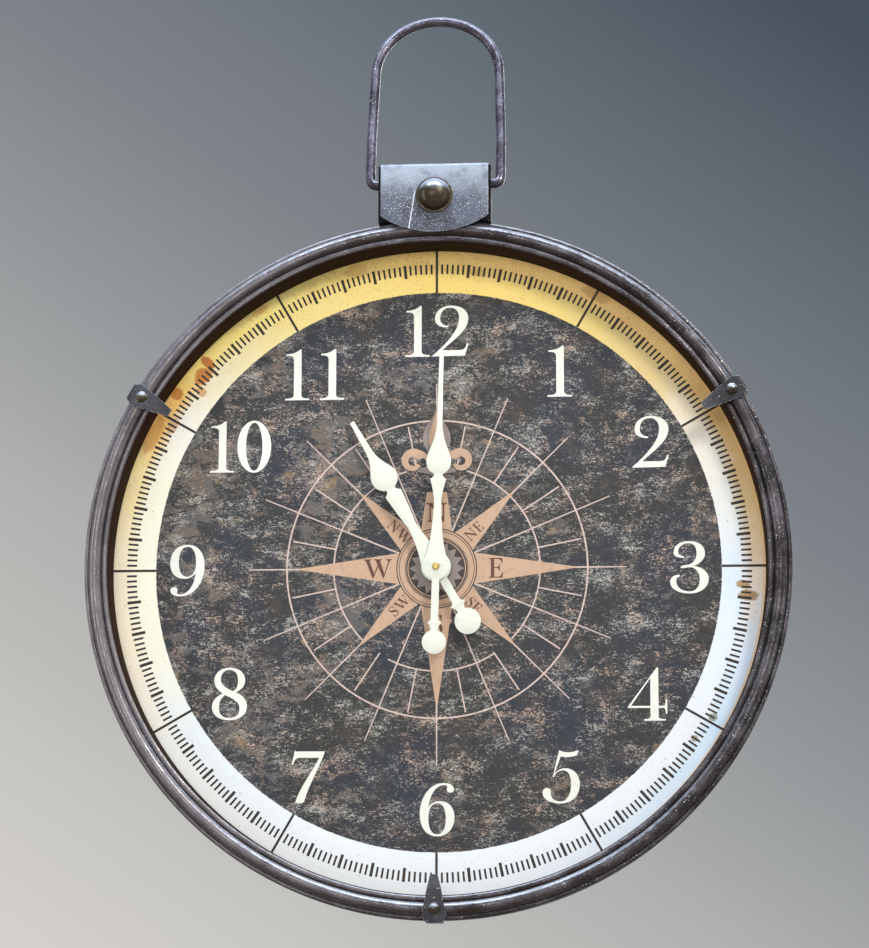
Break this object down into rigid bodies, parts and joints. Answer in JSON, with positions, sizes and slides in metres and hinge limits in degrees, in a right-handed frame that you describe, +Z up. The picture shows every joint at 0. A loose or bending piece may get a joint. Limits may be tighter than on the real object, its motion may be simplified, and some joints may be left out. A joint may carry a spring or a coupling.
{
  "type": "wall clock",
  "caption": "Round pocket-watch style wall clock with a deep rolled metal bezel, an open printed dial, spade hands, riveted retaining claws and a domed saddle with a swinging wire bail.",
  "frame": {"origin": "on the hanger plate's flat rear face, on the centreline, 6 mm above the keyhole's slot; the wall is the plane Y = 0", "axes": "+X to the right as seen from the front, +Y into the wall so the dial faces -Y, +Z up"},
  "size_m": [0.6, 0.0734, 0.8005],
  "materials": {
    "bezel_gunmetal": "dark speckled gunmetal paint",
    "band_black": "satin black paint",
    "claw_steel": "dark speckled gunmetal paint, worn edges",
    "rivet_bronze": "dark bronze",
    "saddle_steel": "blue-grey paint with pale specks and scratches",
    "bail_iron": "worn grey paint over iron",
    "dial_print": "printed sheet, matt",
    "dial_fibreboard": "brown fibreboard",
    "hand_cream": "satin cream paint",
    "zinc": "zinc plated",
    "brass": "bright brass",
    "rubber_black": "soft black rubber",
    "movement_black": "fine textured black",
    "movement_white": "natural white",
    "cell_wrap": "plain grey wrap",
    "board_green": "green solder mask",
    "coil_copper": "enamelled copper wire",
    "magnet_dark": "sintered magnet, dark"
  },
  "bodies": {
    "case": {"bezel_ring": "bezel_gunmetal", "case_band": "band_black", "dial_face": "dial_print", "dial_board": "dial_fibreboard", "claw_right": "claw_steel", "claw_bottom": "claw_steel", "claw_left": "claw_steel", "claw_rivet_right": "rivet_bronze", "claw_rivet_bottom": "rivet_bronze", "claw_rivet_left": "rivet_bronze", "dial_clip_1": "zinc", "dial_clip_2": "zinc", "dial_clip_3": "zinc", "dial_clip_4": "zinc", "clip_screw_1": "zinc", "clip_screw_2": "zinc", "clip_screw_3": "zinc", "clip_screw_4": "zinc", "neck_box": "band_black", "saddle": "saddle_steel", "dome_bolt": "rivet_bronze", "dome_washer": "rivet_bronze", "dome_nut": "zinc", "hanger_plate": "zinc", "neck_screw_left": "zinc", "neck_screw_right": "zinc", "hanger_rivet_left": "zinc", "hanger_rivet_right": "zinc", "wall_bumper_left": "rubber_black", "wall_bumper_right": "rubber_black", "movement_housing": "movement_black", "movement_cover": "movement_black", "movement_gasket": "rubber_black", "mounting_washer": "brass", "mounting_nut": "brass", "battery_cell": "cell_wrap", "battery_contact_left": "zinc", "battery_contact_right": "zinc", "circuit_board": "board_green", "stator": "zinc", "coil": "coil_copper", "train_bridge": "movement_white"},
    "bail": {"bail": "bail_iron"},
    "minute_hand": {"minute_hand": "hand_cream", "hand_nut": "brass", "minute_arbor": "brass"},
    "hour_hand": {"hour_hand": "hand_cream", "hour_wheel": "movement_white"},
    "motion_wheel": {"motion_wheel": "movement_white", "setting_knob": "movement_black"},
    "rotor": {"rotor": "magnet_dark"},
    "first_wheel": {"first_wheel": "movement_white"},
    "second_wheel": {"second_wheel": "movement_white"},
    "third_wheel": {"third_wheel": "movement_white"},
    "centre_wheel": {"centre_wheel": "movement_white"}
  },
  "joints": [
    {"name": "bail_swing", "type": "hinge", "parent": "case", "child": "bail", "pos_m": [0, -0.0455, 0.052], "axis": [1, 0, 0], "range_deg": [0, 172]},
    {"name": "minute_turn", "type": "hinge", "parent": "case", "child": "minute_hand", "pos_m": [0, -0.024, -0.281], "axis": [0, 1, 0], "continuous": true},
    {"name": "hour_turn", "type": "hinge", "parent": "case", "child": "hour_hand", "pos_m": [0, -0.024, -0.281], "axis": [0, 1, 0], "continuous": true},
    {"name": "setting_turn", "type": "hinge", "parent": "case", "child": "motion_wheel", "pos_m": [-0.012, -0.024, -0.281], "axis": [0, 1, 0], "continuous": true},
    {"name": "rotor_turn", "type": "hinge", "parent": "case", "child": "rotor", "pos_m": [-0.01624, -0.024, -0.26759], "axis": [0, 1, 0], "continuous": true},
    {"name": "first_wheel_turn", "type": "hinge", "parent": "case", "child": "first_wheel", "pos_m": [-0.00604, -0.024, -0.26759], "axis": [0, 1, 0], "continuous": true},
    {"name": "second_wheel_turn", "type": "hinge", "parent": "case", "child": "second_wheel", "pos_m": [0.00499, -0.024, -0.26565], "axis": [0, 1, 0], "continuous": true},
    {"name": "third_wheel_turn", "type": "hinge", "parent": "case", "child": "third_wheel", "pos_m": [0.01039, -0.024, -0.275], "axis": [0, 1, 0], "continuous": true},
    {"name": "centre_wheel_turn", "type": "hinge", "parent": "case", "child": "centre_wheel", "pos_m": [0, -0.024, -0.281], "axis": [0, 1, 0], "continuous": true}
  ],
  "couplings": [
    {"joint": "hour_turn", "follows": "minute_turn", "ratio": 0.083333},
    {"joint": "setting_turn", "follows": "minute_turn", "ratio": -0.33333},
    {"joint": "first_wheel_turn", "follows": "rotor_turn", "ratio": -0.13333},
    {"joint": "second_wheel_turn", "follows": "rotor_turn", "ratio": 0.022222},
    {"joint": "third_wheel_turn", "follows": "rotor_turn", "ratio": -0.0027778},
    {"joint": "centre_wheel_turn", "follows": "rotor_turn", "ratio": 0.00055556}
  ]
}
